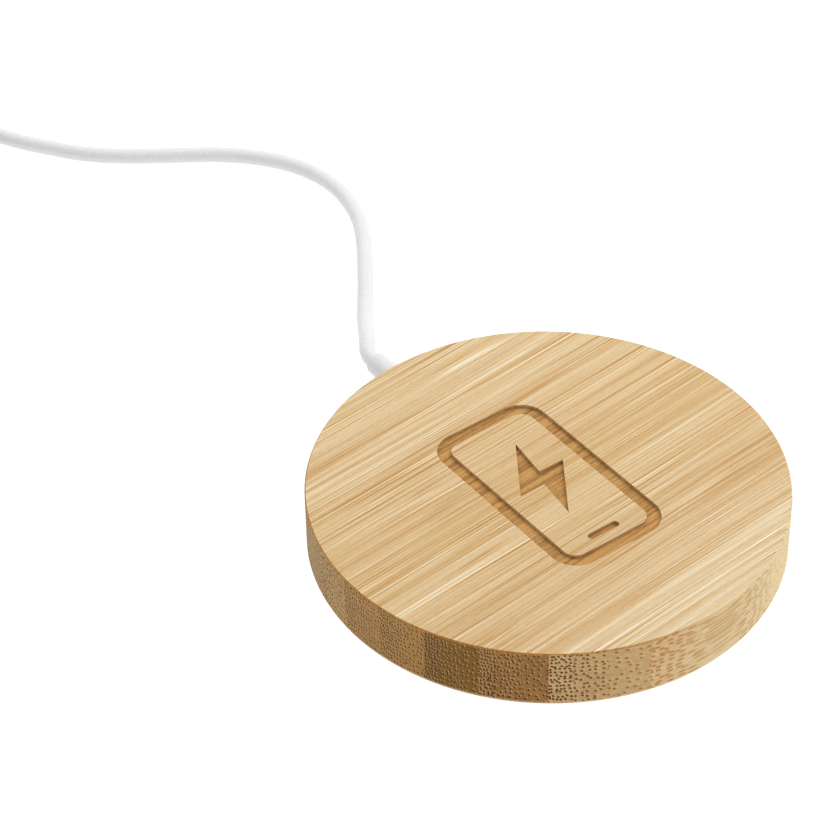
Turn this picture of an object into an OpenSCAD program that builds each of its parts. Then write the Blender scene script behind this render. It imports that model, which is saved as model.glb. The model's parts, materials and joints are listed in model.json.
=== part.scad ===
// Magnetic wireless charging pad: a bamboo disc with a fixed cord and a USB-C plug.
// Millimetres. +Z is up, the pad rests on Z = 0, and the cord leaves it towards +Y.
// The bamboo's fibres run close to the X axis.

/* [Bamboo case] */
// Diameter of the bamboo disc
case_d = 60; // [50:1:90]
// Height of the bamboo disc's wall
case_h = 8.4; // [8:0.2:12]
// Wall left around the pocket
wall_t = 2.5; // [2.2:0.1:4]
// Bamboo left between the pocket and the phone
skin_t = 1.4; // [1.2:0.1:2]
// Chamfer round the lower edge
foot_chamfer = 0.6; // [0.2:0.1:0.9]
// Broken edge round the top
top_chamfer = 0.15; // [0.1:0.05:0.5]

/* [Engraved picture] */
// Depth of the engraving
engrave_depth = 0.45; // [0.2:0.05:0.8]
// Width of the engraved phone
icon_w = 16; // [13:0.5:20]
// Height of the engraved phone
icon_h = 29; // [24:0.5:35]
// Width of the engraved line
icon_line = 1.8; // [1:0.1:2.4]
// Corner radius of the engraved phone
icon_corner = 3.6; // [2.6:0.1:5]
// Height of the lightning bolt
bolt_h = 14; // [10:0.5:18]
// Width of the lightning bolt
bolt_w = 8.4; // [6:0.2:10]
// Length of the short bar below the bolt
bar_w = 4.6; // [3:0.2:7]
// Height of the short bar
bar_h = 1; // [0.6:0.1:1.4]

/* [Base plate] */
// Thickness of the base plate
plate_t = 1.4; // [1.2:0.1:1.8]
// Width of the ledge that the plate is bonded to
ledge_w = 1; // [0.8:0.1:1.3]
// Gap between the plate's edge and the bamboo
plate_gap = 0.15; // [0.1:0.05:0.25]
// Thickness of the bonding ring
bond_t = 0.15; // [0.1:0.05:0.3]
// Thickness of the anti-slip ring
foot_t = 1; // [0.8:0.05:1.2]
// Width of the anti-slip ring
foot_w = 6.4; // [4:0.2:9]
// How far the anti-slip ring stands below the plate
foot_proud = 0.3; // [0.3:0.05:0.6]
// Distance from the case's edge to the anti-slip ring
foot_inset = 4; // [3:0.2:6]
// Gap around the anti-slip ring in its groove
foot_gap = 0.1; // [0.05:0.05:0.2]
// Diameter of the screw bosses
boss_d = 3.2; // [3:0.1:4]

/* [Magnets and coil] */
// Thickness of the upper adhesive film
film_t = 0.1; // [0.05:0.05:0.3]
// Thickness of the magnets
magnet_t = 1; // [0.8:0.1:1.4]
// Radial width of the magnets
magnet_w = 4; // [3:0.1:5]
// Number of magnet segments
magnet_count = 16; // [10:1:24]
// Gap between neighbouring magnets, in degrees
magnet_split = 1.2; // [0.6:0.1:3]
// Thickness of the steel yoke under the magnets
yoke_t = 0.3; // [0.2:0.05:0.5]
// Gap between the magnets and the pocket wall
magnet_gap = 0.5; // [0.3:0.1:1]
// Gap between the magnets and the ferrite
shield_gap = 0.8; // [0.4:0.1:1.5]
// Diameter of the coil's litz wire
litz_d = 1; // [0.8:0.05:1.2]
// Gap between neighbouring turns of the coil
turn_gap = 0.1; // [0.05:0.05:0.3]
// Inner radius of the coil
coil_inner_r = 10.8; // [9:0.2:13]
// Bend radius of the coil's two leads
lead_bend = 1; // [0.8:0.1:1.2]
// Thickness of the ferrite sheet
shield_t = 0.8; // [0.6:0.05:1]
// Least thickness of the foam between ferrite and board
foam_t = 0.1; // [0.1:0.05:0.4]
// Diameter of the hole in the middle of the ferrite
shield_hole_d = 5; // [4:0.2:8]
// Width of the notch in the ferrite's edge for the cord's conductors
shield_notch_w = 4; // [3.6:0.2:6]
// Depth of that notch
shield_notch_l = 3; // [3:0.2:4]
// Diameter of the thermistor's bead
bead_d = 1.6; // [1.2:0.1:1.8]
// Length of the thermistor's bead
bead_l = 2.6; // [2.2:0.1:3.2]
// Diameter of the thermistor's leads
bead_lead_d = 0.3; // [0.2:0.05:0.4]
// Distance between the thermistor's leads
bead_lead_pitch = 1.2; // [1:0.1:1.6]

/* [Circuit board] */
// Thickness of the circuit board
board_t = 0.8; // [0.6:0.1:1]
// Gap between the board's edge and the pocket wall
board_gap = 1.5; // [1:0.1:2]
// Width of the board's notch for the cord
notch_w = 6.6; // [6:0.2:9]
// Depth of the board's notch, from the board's edge
notch_l = 8.5; // [7:0.1:9]
// Shank diameter of the board screws
screw_d = 1.4; // [1.2:0.1:1.6]
// Length of the board screws under the head
screw_l = 3; // [2.4:0.1:3.6]
// Head diameter of the board screws
screw_head_d = 2.8; // [2.4:0.1:3]
// Head height of the board screws
screw_head_h = 0.4; // [0.3:0.05:0.5]
// Gap around a shank or a lead in its hole
hole_gap = 0.05; // [0.03:0.01:0.1]
// Distance from the board's edge to its screws
screw_edge = 1.8; // [1.6:0.1:2]

/* [Strain relief] */
// Height of the cord's axis where it leaves the case
exit_h = 4.3; // [4:0.1:5]
// How far the strain relief stands out of the case
relief_l = 6.5; // [4:0.5:12]
// Wall of the strain relief at its tip
relief_tip_t = 0.4; // [0.3:0.05:0.8]
// Wall of the strain relief in the case
relief_root_t = 0.7; // [0.5:0.05:0.9]
// Radius of the strain relief's rounded shoulder
relief_round = 0.4; // [0.2:0.05:0.45]
// Diameter of the flange inside the case
relief_flange_d = 5; // [4.6:0.1:5.6]
// Thickness of the flange inside the case
relief_flange_t = 1.1; // [0.8:0.1:1.6]
// Gap between the strain relief and its hole
relief_gap = 0.05; // [0.02:0.01:0.1]

/* [Cord] */
// Diameter of the cord
cord_d = 2.2; // [1.6:0.1:2.4]
// Diameter of an insulated conductor
core_d = 0.56; // [0.4:0.02:0.6]
// Mean diameter of the coil, in cord diameters
coil_ratio = 11; // [11:0.5:12]
// Gap between neighbouring turns of the cord's coil
cord_gap = 0.05; // [0.02:0.01:0.2]
// Turns in the coil's lower layer
coil_turns = 6; // [4:1:7]
// Thickness of a tie's strap
tie_t = 0.5; // [0.3:0.05:0.8]
// Width of a tie's strap
tie_w = 4; // [3:0.5:8]

/* [Plug] */
// Width of the plug's metal shell
shell_w = 8.25; // [8:0.05:8.5]
// Height of the plug's metal shell
shell_h = 2.4; // [2.3:0.05:2.5]
// How far the shell stands out of the grip
shell_l = 6.65; // [6.2:0.05:6.8]
// Wall of the shell
shell_t = 0.3; // [0.2:0.05:0.35]
// Depth of the shell in the grip
shell_root = 3; // [2:0.5:4]
// Width of the slot in the plug's carrier
slot_w = 6.7; // [6.4:0.1:6.8]
// Height of the slot in the plug's carrier
slot_h = 1.1; // [1:0.05:1.2]
// Depth of the slot in the plug's carrier
slot_l = 5; // [4:0.5:5.5]
// Thickness of a contact
contact_t = 0.15; // [0.1:0.01:0.2]
// Width of a contact
contact_w = 0.25; // [0.2:0.01:0.3]
// Distance between contacts
contact_pitch = 0.5; // [0.45:0.05:0.5]
// Width of the grip
grip_w = 11.4; // [10:0.2:12.6]
// Height of the grip
grip_h = 6.2; // [5:0.2:6.6]
// Length of the grip
grip_l = 18; // [16:0.5:24]
// Length of the plug's boot
boot_l = 8; // [6:0.5:12]
// Wall of the boot at its tip
boot_tip_t = 0.45; // [0.3:0.05:0.8]
// Wall of the boot at the grip
boot_root_t = 1.3; // [1:0.1:1.7]
// Length of the plug's small board
card_l = 7; // [5:0.5:8]
// Thickness of the plug's small board
card_t = 0.8; // [0.6:0.1:1]

/* [Hidden] */
$fn = 96;
// A hair that a cutting tool runs past the face it cuts
past = 0.5;

// Radii, from the case inwards
case_r = case_d / 2;
pocket_r = case_r - wall_t;
rebate_r = pocket_r + ledge_w;
plate_r = rebate_r - plate_gap;
foot_r = case_r - foot_inset;
magnet_r = pocket_r - magnet_gap;
magnet_in_r = magnet_r - magnet_w;
shield_r = magnet_in_r - shield_gap;
board_r = pocket_r - board_gap;
screw_r = board_r - screw_edge;
// Heights, from the base up
case_z = foot_proud;
plate_top = case_z + plate_t;
ledge_z = plate_top + bond_t;
case_top = case_z + case_h;
// Heights, from the pocket's roof down
roof_z = case_top - skin_t;
film_z = roof_z - film_t;
magnet_z = film_z - magnet_t;
yoke_z = magnet_z - yoke_t;
litz_z = film_z - litz_d / 2;
shield_z = film_z - litz_d - shield_t;
board_top = min(shield_z - foam_t, yoke_z - screw_head_h - foam_t);
board_z = board_top - board_t;
// Turns of the charging coil and the radius at which it ends
litz_pitch = litz_d + turn_gap;
litz_start = coil_inner_r + litz_d / 2;
litz_turns = floor((shield_r - litz_d - litz_start) / litz_pitch + 0.1);
litz_end = litz_start + litz_turns * litz_pitch;
litz_hole_d = litz_d + 4 * hole_gap;
// Broken edges, and the small clearances kept between neighbouring pieces
edge_break = 0.2;
seat_gap = 0.1;
// Strain relief and the flat that its flange seats on
cord_r = cord_d / 2;
relief_y = case_r + relief_l;
relief_tip_r = cord_r + relief_tip_t;
relief_root_r = cord_r + relief_root_t;
flat_y = pocket_r + seat_gap;
// Opening in the magnet ring and its yoke where the cord comes in, in degrees
ring_open = 2 * asin((relief_flange_d / 2 + 0.8) / magnet_in_r);
jacket_y = shield_r + 0.5;
cradle_t = 1.3;
cradle_wall = 1.2;
// Ring that centres the board's parts on the base plate
centring_r = 8;
centring_w = 0.8;
centring_h = 0.3;
// Solder pads of the four conductors, just inside the notch
notch_y = board_r - notch_l;
pad_y = notch_y - 1.6;
pad_pitch = 1.7;
pad_d = 1.3;
core_z = board_z - core_d / 2 - 0.02;
// Copper of the cord's four conductors sits in a square inside the jacket
core_offset = cord_d * 0.18;
// Three screws, clear of the cord
SCREW_ANGLES = [30, 150, 270];

// Route of the cord from the strain relief's tip to its coil. X and Y are measured
// from the tip. The third number is how much of the exit's height is left, and the
// fourth how much of the lowest turn's height is reached.
LEAD = [
    [0, 0, 1, 0], [0.1, 1.1, 1, 0], [0.5, 2.25, 0.99, 0], [1.25, 3.4, 0.95, 0],
    [2.1, 4.65, 0.86, 0], [3.05, 6.1, 0.7, 0], [4.15, 7.75, 0.48, 0], [5.35, 9.6, 0.25, 0],
    [6.7, 11.6, 0.08, 0], [8.3, 13.8, 0, 0], [10.3, 16.5, 0, 0], [12.8, 20, 0, 0],
    [15.2, 23.5, 0, 0], [17.4, 27, 0, 0], [19.2, 30.6, 0, 0], [20.4, 34.6, 0, 0],
    [20.9, 38.8, 0, 0], [20.4, 43.1, 0, 0], [18.8, 47.4, 0, 0], [16.1, 51.4, 0, 0],
    [12.6, 55, 0, 0], [8.5, 58.1, 0, 0], [4.2, 61.1, 0, 0], [0.2, 64.2, 0, 0],
    [-3.4, 67.7, 0, 0], [-6.4, 71.8, 0, 0], [-9.1, 76, 0, 0], [-11.4, 80.2, 0, 0.3],
    [-13, 84.6, 0, 0.8], [-13.6, 89, 0, 1], [-13.6, 91, 0, 1]
];
// Route from the coil's top turn to the plug. X and Y are measured from the place
// where the cord leaves that turn. The third number is how much of the top turn's
// height is left, and the fourth how much of the plug's height is reached.
TAIL = [
    [0, 0, 1, 0], [-4, 0, 0.95, 0], [-8.2, -0.4, 0.62, 0], [-12.4, -1.5, 0.25, 0],
    [-16.4, -3.4, 0.04, 0], [-20, -6.2, 0, 0], [-22.9, -9.8, 0, 0], [-24.8, -14, 0, 0.1],
    [-25.6, -18.4, 0, 0.45], [-25.8, -22.6, 0, 0.85], [-25.8, -25.6, 0, 1], [-25.8, -26.6, 0, 1]
];

// The cord's coil: an inward spiral on the ties, and an outward one on top of it
wind_pitch = cord_d + cord_gap;
wind_mid = coil_ratio * cord_d / 2;
wind_out = wind_mid + (coil_turns - 0.5) * wind_pitch / 2;
wind_in = wind_mid - (coil_turns - 0.5) * wind_pitch / 2;
wind_low = tie_t + cord_r;
wind_high = wind_low + wind_pitch;
lead_end = LEAD[len(LEAD) - 1];
coil_x = lead_end.x - wind_out;
coil_y = relief_y + lead_end.y;
TIE_ANGLES = [215, 325];
// The plug lies on the table at the end of the tail, pointing along -Y
tail_x = coil_x;
tail_y = coil_y + wind_out;
tail_end = TAIL[len(TAIL) - 1];
plug_x = tail_x + tail_end.x;
plug_y = tail_y + tail_end.y;
plug_z = grip_h / 2;
grip_start = boot_l;
grip_end = grip_start + grip_l;
shell_start = grip_end - shell_root;
shell_end = grip_end + shell_l;
card_start = shell_start - card_l;
card_w = shell_w - 1;
card_gap = 0.05;
carrier_w = shell_w - 2 * shell_t;
carrier_h = shell_h - 2 * shell_t;
carrier_end = shell_end - 0.15;
slot_start = carrier_end - slot_l;

// ---- shapes and paths that several pieces use ----

// A flat ring between two radii and two heights
module ring(r_in, r_out, z0, z1) {
    translate([0, 0, z0])
        difference() {
            cylinder(r = r_out, h = z1 - z0);
            translate([0, 0, -past]) cylinder(r = r_in, h = z1 - z0 + 2 * past);
        }
}

// An upright block with four rounded corners, centred on Z
module rounded_block(w, l, r, z0, z1) {
    translate([0, 0, z0]) {
        translate([-w / 2 + r, -l / 2, 0]) cube([w - 2 * r, l, z1 - z0]);
        translate([-w / 2, -l / 2 + r, 0]) cube([w, l - 2 * r, z1 - z0]);
        for (x = [-1, 1], y = [-1, 1])
            translate([x * (w / 2 - r), y * (l / 2 - r), 0]) cylinder(r = r, h = z1 - z0);
    }
}

// Turns a part drawn along +Z to point along +Y
module along_y() {
    rotate([-90, 0, 0]) children();
}

// Puts a part, drawn along +Y from the boot's tip, where the plug lies
module at_plug() {
    translate([plug_x, plug_y, plug_z]) rotate([0, 0, 180]) children();
}

// Puts an upright part beside each board screw
module at_screws() {
    for (a = SCREW_ANGLES)
        rotate([0, 0, a]) translate([screw_r, 0, 0]) children();
}

// A block with half-round sides, lying along +Y, as a USB-C shell has
module stadium(w, h, y0, y1) {
    translate([-w / 2 + h / 2, y0, -h / 2]) cube([w - h, y1 - y0, h]);
    for (side = [-1, 1])
        translate([side * (w - h) / 2, y0, 0]) along_y() cylinder(d = h, h = y1 - y0);
}

// A box given by its corners
module span(a, b) {
    translate(a) cube(b - a);
}

function unit(v) = v / norm(v);

// A route's point: its height is made of shares of the heights at the two ends
function place(p, x, y, z_from, z_to) = [
    x + p.x, y + p.y, cord_r + p[2] * (z_from - cord_r) + p[3] * (z_to - cord_r)
];

// Direction of a path at one of its points, fixed at both ends
function heading(path, i, first, last) =
    i == 0 ? first : i == len(path) - 1 ? last : unit(path[i + 1] - path[i - 1]);

// Corners of one ring of a tube, square to its direction
function tube_ring(centre, dir, r, sides) =
    let (side = unit(cross(dir, [0, 0, 1])), up = cross(side, dir))
    [for (k = [0 : sides - 1])
        let (a = 360 * (k + 0.5) / sides)
        centre + r * (cos(a) * side + sin(a) * up)];

// A tube swept through the points of a path
module tube(path, r, sides, first, last) {
    rings = len(path);
    corners = [for (i = [0 : rings - 1])
        each tube_ring(path[i], heading(path, i, first, last), r, sides)];
    walls = [for (i = [0 : rings - 2], k = [0 : sides - 1])
        let (a = i * sides + k, b = i * sides + (k + 1) % sides)
        each [[a, b, b + sides], [a, b + sides, a + sides]]];
    caps = [[for (k = [sides - 1 : -1 : 0]) k], [for (k = [0 : sides - 1]) (rings - 1) * sides + k]];
    polyhedron(points = corners, faces = concat(walls, caps), convexity = 6);
}

// A point of a smooth curve that starts and ends along Y
function curve_point(a, b, pull, t) =
    pow(1 - t, 3) * a + 3 * pow(1 - t, 2) * t * (a - [0, pull, 0])
    + 3 * (1 - t) * t * t * (b + [0, pull, -0.25]) + pow(t, 3) * b;

// ---- case and base ----

module engraving() {
    z = case_top - engrave_depth;
    top = case_top + past;
    difference() {
        rounded_block(icon_w, icon_h, icon_corner, z, top);
        rounded_block(icon_w - 2 * icon_line, icon_h - 2 * icon_line,
            icon_corner - icon_line, z - past, top + past);
    }
    translate([0, 1.2, z])
        linear_extrude(engrave_depth + past)
            polygon([
                [bolt_w * 0.16, bolt_h / 2], [-bolt_w / 2, -bolt_h * 0.08],
                [-bolt_w * 0.06, -bolt_h * 0.08], [-bolt_w * 0.16, -bolt_h / 2],
                [bolt_w / 2, bolt_h * 0.08], [bolt_w * 0.06, bolt_h * 0.08]
            ]);
    translate([0, -icon_h / 2 + icon_line + 1.9, 0])
        rounded_block(bar_w, bar_h, bar_h * 0.45, z, top);
}

module bamboo_shell() {
    flat_w = relief_flange_d + 0.4;
    flat_l = 3;
    color("burlywood")
        difference() {
            rotate_extrude()
                polygon([
                    [0, roof_z], [pocket_r, roof_z], [pocket_r, ledge_z], [rebate_r, ledge_z],
                    [rebate_r, case_z], [case_r - foot_chamfer, case_z],
                    [case_r - foot_chamfer * 0.3, case_z + foot_chamfer * 0.3],
                    [case_r, case_z + foot_chamfer], [case_r, case_top - top_chamfer],
                    [case_r - top_chamfer, case_top], [0, case_top]
                ]);
            engraving();
            translate([0, flat_y - past, exit_h])
                along_y() cylinder(r = relief_root_r + relief_gap, h = wall_t + 2 * past);
            span([-flat_w / 2, flat_y - flat_l, ledge_z], [flat_w / 2, flat_y, roof_z]);
        }
}

module base_plate() {
    boss_h = board_z - plate_top;
    pilot_l = screw_l - board_t + edge_break;
    cradle_y = jacket_y + 0.6;
    cradle_x = cord_r + cradle_wall;
    dish_r = foot_r - foot_w - 1;
    color("whitesmoke")
        difference() {
            union() {
                rotate_extrude()
                    polygon([
                        [0, case_z + edge_break], [dish_r - edge_break, case_z + edge_break],
                        [dish_r, case_z], [plate_r - edge_break, case_z],
                        [plate_r, case_z + edge_break], [plate_r, plate_top], [0, plate_top]
                    ]);
                at_screws() translate([0, 0, plate_top]) cylinder(d = boss_d, h = boss_h);
                ring(centring_r, centring_r + centring_w, plate_top, plate_top + centring_h);
                span([-cradle_x, cradle_y, plate_top], [cradle_x, cradle_y + cradle_t, exit_h]);
            }
            ring(foot_r - foot_w - foot_gap, foot_r + foot_gap,
                case_z - past, case_z + foot_t - foot_proud);
            at_screws()
                translate([0, 0, board_z - pilot_l]) cylinder(d = screw_d + 2 * hole_gap, h = pilot_l + past);
            translate([0, cradle_y - past, exit_h])
                along_y() cylinder(r = cord_r + hole_gap, h = cradle_t + 2 * past);
        }
}

module bonding_ring() {
    color("dimgray")
        ring(pocket_r + plate_gap, plate_r, plate_top, ledge_z);
}

// Two shallow grooves run round the ring's underside
module anti_slip_ring() {
    half_w = foot_w / 2;
    lip = 0.15;
    groove_r = 1.3;
    groove_w = 0.3;
    groove_h = 0.2;
    color("lightgray")
        rotate_extrude()
            translate([foot_r - half_w, 0])
                polygon([
                    [-half_w, lip], [-half_w + lip, 0], [-groove_r - groove_w, 0],
                    [-groove_r, groove_h], [-groove_r + groove_w, 0], [groove_r - groove_w, 0],
                    [groove_r, groove_h], [groove_r + groove_w, 0], [half_w - lip, 0],
                    [half_w, lip], [half_w, foot_t], [-half_w, foot_t]
                ]);
}

module board_screws() {
    slot = 0.35;
    slot_r = 0.8;
    slot_floor = 0.15;
    color("silver")
        at_screws()
            difference() {
                union() {
                    translate([0, 0, board_top - screw_l])
                        cylinder(d = screw_d, h = screw_l + screw_head_h / 2);
                    translate([0, 0, board_top]) cylinder(d = screw_head_d, h = screw_head_h);
                }
                for (a = [0, 90])
                    rotate([0, 0, a])
                        span([-slot_r, -slot / 2, board_top + slot_floor],
                            [slot_r, slot / 2, board_top + screw_head_h + past]);
            }
}

// ---- magnets, coil and shield ----

module coil_film() {
    color("lightyellow")
        translate([0, 0, film_z]) cylinder(r = magnet_r, h = film_t);
}

module alignment_magnets() {
    step = (360 - ring_open) / magnet_count;
    color("silver")
        for (i = [0 : magnet_count - 1])
            rotate([0, 0, 90 + ring_open / 2 + i * step + magnet_split / 2])
                rotate_extrude(angle = step - magnet_split)
                    translate([magnet_in_r, magnet_z]) square([magnet_w, magnet_t]);
}

module magnet_yoke() {
    color("gray")
        rotate([0, 0, 90 + ring_open / 2])
            rotate_extrude(angle = 360 - ring_open)
                translate([magnet_in_r, yoke_z]) square([magnet_w, yoke_t]);
}

// One half turn of the coil, of the given number counted from the inside
module half_turn(i) {
    upper = i % 2 == 0;
    r = litz_start + (i + 0.5) * litz_pitch / 2;
    translate([(upper ? -1 : 1) * litz_pitch / 4, 0, litz_z])
        rotate([0, 0, upper ? 0 : 180])
            rotate_extrude(angle = 180)
                translate([r, 0]) circle(d = litz_d);
}

// A lead that leaves the coil along Y and turns down through the board
module coil_lead(x, side) {
    tail_z = board_z - 0.5;
    translate([x, 0, litz_z - lead_bend])
        rotate([0, 0, side > 0 ? 0 : 180])
            rotate([0, -90, 0])
                rotate_extrude(angle = 90)
                    translate([lead_bend, 0]) circle(d = litz_d);
    translate([x, side * lead_bend, tail_z])
        cylinder(d = litz_d, h = litz_z - lead_bend - tail_z);
}

module charging_coil() {
    color("peru") {
        for (i = [0 : 2 * litz_turns - 1]) half_turn(i);
        coil_lead(litz_start, -1);
        coil_lead(litz_end, 1);
    }
}

// The slots that let the coil's leads, the thermistor and the cord's conductors through
module lead_slots(z0, z1) {
    w = litz_d / 2 + 0.3;
    span([litz_start - w, -lead_bend - w, z0], [litz_start + w, 0.3, z1]);
    span([litz_end - w, -0.3, z0], [litz_end + 4, lead_bend + w, z1]);
    translate([0, 0, z0]) cylinder(d = shield_hole_d, h = z1 - z0);
    span([-shield_notch_w / 2, shield_r - shield_notch_l, z0], [shield_notch_w / 2, shield_r + past, z1]);
}

module ferrite_shield() {
    color("dimgray")
        difference() {
            translate([0, 0, shield_z]) cylinder(r = shield_r, h = shield_t);
            lead_slots(shield_z - past, shield_z + shield_t + past);
        }
}

module shield_foam() {
    color("khaki")
        difference() {
            translate([0, 0, board_top]) cylinder(r = shield_r - 0.3, h = shield_z - board_top);
            lead_slots(board_top - past, shield_z + past);
        }
}

module thermistor() {
    z = film_z - bead_d / 2;
    lead_z = board_z - 0.4;
    color("maroon") {
        translate([-bead_l / 2 + bead_d / 2, 0, z])
            rotate([0, 90, 0]) cylinder(d = bead_d, h = bead_l - bead_d);
        for (side = [-1, 1])
            translate([side * (bead_l - bead_d) / 2, 0, z]) sphere(d = bead_d);
        for (side = [-1, 1])
            translate([side * bead_lead_pitch / 2, 0, lead_z])
                cylinder(d = bead_lead_d, h = z - lead_z);
    }
}

// A cone of solder around a wire that stands in a hole
module solder_cone(wire_d, foot_r, h) {
    rotate([180, 0, 0])
        difference() {
            cylinder(r1 = foot_r, r2 = wire_d / 2 + 0.1, h = h);
            translate([0, 0, -past]) cylinder(d = wire_d, h = h + 2 * past);
        }
}

module thermistor_solder() {
    color("lightgray")
        for (side = [-1, 1])
            translate([side * bead_lead_pitch / 2, 0, board_z])
                solder_cone(bead_lead_d, 0.45, 0.35);
}

module coil_solder() {
    color("lightgray") {
        for (p = [[litz_start, -lead_bend], [litz_end, lead_bend]])
            translate([p.x, p.y, board_z]) solder_cone(litz_d, 1.2, 0.45);
    }
}

// ---- circuit board and what it carries ----

module circuit_board() {
    color("darkgreen")
        difference() {
            translate([0, 0, board_z]) cylinder(r = board_r, h = board_t);
            span([-notch_w / 2, notch_y, board_z - past], [notch_w / 2, board_r + past, board_top + past]);
            at_screws()
                translate([0, 0, board_z - past]) cylinder(d = screw_d + 2 * hole_gap, h = board_t + 2 * past);
            for (p = [[litz_start, -lead_bend], [litz_end, lead_bend]])
                translate([p.x, p.y, board_z - past]) cylinder(d = litz_hole_d, h = board_t + 2 * past);
            for (side = [-1, 1])
                translate([side * bead_lead_pitch / 2, 0, board_z - past])
                    cylinder(d = bead_lead_d + 2 * hole_gap, h = board_t + 2 * past);
        }
}

// A part of size s soldered to the board's underside, centred at x, y
module under_board(x, y, s) {
    translate([x - s.x / 2, y - s.y / 2, board_z - s.z]) cube(s);
}

module controller_chip() {
    color("black") under_board(0, -5, [5, 5, 0.85]);
}

module bridge_transistors() {
    color("black")
        for (y = [-6.2, -1.8, 2.6]) under_board(-7, y, [3.2, 3.2, 0.9]);
}

module resonant_capacitors() {
    color("tan")
        for (x = [-6, -2, 2, 6]) under_board(x, -12, [3.2, 2.5, 1.7]);
}

module input_capacitors() {
    color("tan")
        for (x = [-4.6, -1.6, 1.6, 4.6]) under_board(x, 6.4, [2, 1.25, 1.2]);
}

module buck_inductor() {
    base = [4, 4, 0.4];
    drum_d = 3;
    drum_h = 1.2;
    flange_d = 3.9;
    flange_h = 0.3;
    drum_z = board_z - base.z - drum_h;
    color("dimgray")
        translate([6.6, -5.4, 0]) {
            under_board(0, 0, base);
            translate([0, 0, drum_z]) cylinder(d = drum_d, h = drum_h);
            translate([0, 0, drum_z - flange_h]) cylinder(d = flange_d, h = flange_h);
        }
}

module chip_resistors() {
    lying = [1, 0.5, 0.35];
    standing = [lying.y, lying.x, lying.z];
    color("black") {
        for (x = [-3.6, -1.2, 1.2, 3.6]) under_board(x, 3.4, lying);
        for (y = [-6.4, -5.2]) under_board(11, y, lying);
        for (y = [-4.4, -6, -7.6]) under_board(-11, y, standing);
    }
}

module cord_solder() {
    color("lightgray")
        for (k = [0 : 3])
            translate([(k - 1.5) * pad_pitch, pad_y, board_z])
                difference() {
                    rotate([180, 0, 0]) cylinder(d1 = pad_d, d2 = pad_d * 0.6, h = core_d + 0.1);
                    span([-pad_d, pad_d * 0.28, -2], [pad_d, pad_d, past]);
                }
}

// ---- cord, from the board to the plug ----

module core_wire(k, side, level) {
    a = [side * core_offset, jacket_y, exit_h + level * core_offset];
    b = [(k - 1.5) * pad_pitch, pad_y + pad_d * 0.28, core_z];
    path = [for (i = [0 : 10]) curve_point(a, b, 3, i / 10)];
    tube(path, core_d / 2, 8, [0, -1, 0], [0, -1, 0]);
}

module wire_red() {
    color("red") core_wire(0, -1, 1);
}

module wire_green() {
    color("green") core_wire(1, -1, -1);
}

module wire_white() {
    color("white") core_wire(2, 1, -1);
}

module wire_black() {
    color("black") core_wire(3, 1, 1);
}

module strain_relief() {
    seat = flat_y - relief_flange_t;
    shoulder = relief_y - relief_round;
    color("white") {
        translate([0, 0, exit_h])
            along_y()
                rotate_extrude()
                    polygon(concat(
                        [[cord_r, seat], [relief_root_r, seat], [relief_root_r, case_r]],
                        [for (a = [0 : 15 : 90])
                            [relief_tip_r - relief_round + relief_round * cos(a),
                                shoulder + relief_round * sin(a)]],
                        [[cord_r, relief_y]]));
        intersection() {
            translate([0, 0, exit_h])
                along_y() translate([0, 0, seat])
                    difference() {
                        cylinder(d = relief_flange_d, h = relief_flange_t);
                        translate([0, 0, -past]) cylinder(r = cord_r, h = relief_flange_t + 2 * past);
                    }
            span([-relief_flange_d, seat - past, ledge_z + 0.1],
                [relief_flange_d, flat_y + past, film_z - 0.1]);
        }
    }
}

module cord_inner_end() {
    color("white")
        translate([0, jacket_y, exit_h])
            along_y() cylinder(r = cord_r, h = relief_y - jacket_y);
}

module cord_lead() {
    color("white")
        tube([for (p = LEAD) place(p, 0, relief_y, exit_h, wind_low)],
            cord_r, 8, [0, 1, 0], [0, 1, 0]);
}

// Outline of the wound cord's section, grown by a margin
module winding_section(margin) {
    translate([wind_in - cord_r - margin, wind_low - cord_r - margin])
        square([wind_out - wind_in + cord_d + 2 * margin, wind_high - wind_low + cord_d + 2 * margin]);
}

module cord_coil() {
    color("white")
        translate([coil_x, coil_y, 0])
            rotate_extrude() winding_section(0);
}

module cord_ties() {
    reach = wind_out + cord_d;
    color("gray")
        translate([coil_x, coil_y, 0])
            for (a = TIE_ANGLES)
                intersection() {
                    difference() {
                        rotate_extrude() winding_section(tie_t);
                        rotate_extrude() winding_section(0);
                    }
                    rotate([0, 0, a]) span([0, -tie_w / 2, -past], [reach, tie_w / 2, 20]);
                }
}

module cord_tail() {
    color("white")
        tube([for (p = TAIL) place(p, tail_x, tail_y, wind_high, plug_z)],
            cord_r, 8, [-1, 0, 0], [0, -1, 0]);
}

module cord_plug_end() {
    color("white")
        at_plug() along_y() cylinder(r = cord_r, h = card_start - card_gap);
}

// ---- plug ----

module plug_boot() {
    tip_r = cord_r + boot_tip_t;
    root_r = cord_r + boot_root_t;
    color("white")
        at_plug() along_y()
            rotate_extrude()
                polygon([
                    [cord_r, 0], [tip_r - edge_break, 0], [tip_r, edge_break], [root_r, boot_l - 0.6],
                    [root_r, boot_l], [cord_r, boot_l]
                ]);
}

module plug_grip() {
    corner = 2.2;
    color("white")
        at_plug()
            difference() {
                along_y() rounded_block(grip_w, grip_h, corner, grip_start, grip_end);
                stadium(shell_w, shell_h, shell_start, grip_end + past);
                span([-card_w / 2 - card_gap, card_start - card_gap, -card_t / 2 - card_gap],
                    [card_w / 2 + card_gap, shell_start + past, card_t / 2 + card_gap]);
                translate([0, grip_start - past, 0])
                    along_y() cylinder(r = cord_r, h = card_start - grip_start - card_gap + past);
            }
}

module plug_shell() {
    color("silver")
        at_plug()
            difference() {
                stadium(shell_w, shell_h, shell_start, shell_end);
                stadium(carrier_w, carrier_h, shell_start - past, shell_end + past);
            }
}

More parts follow.
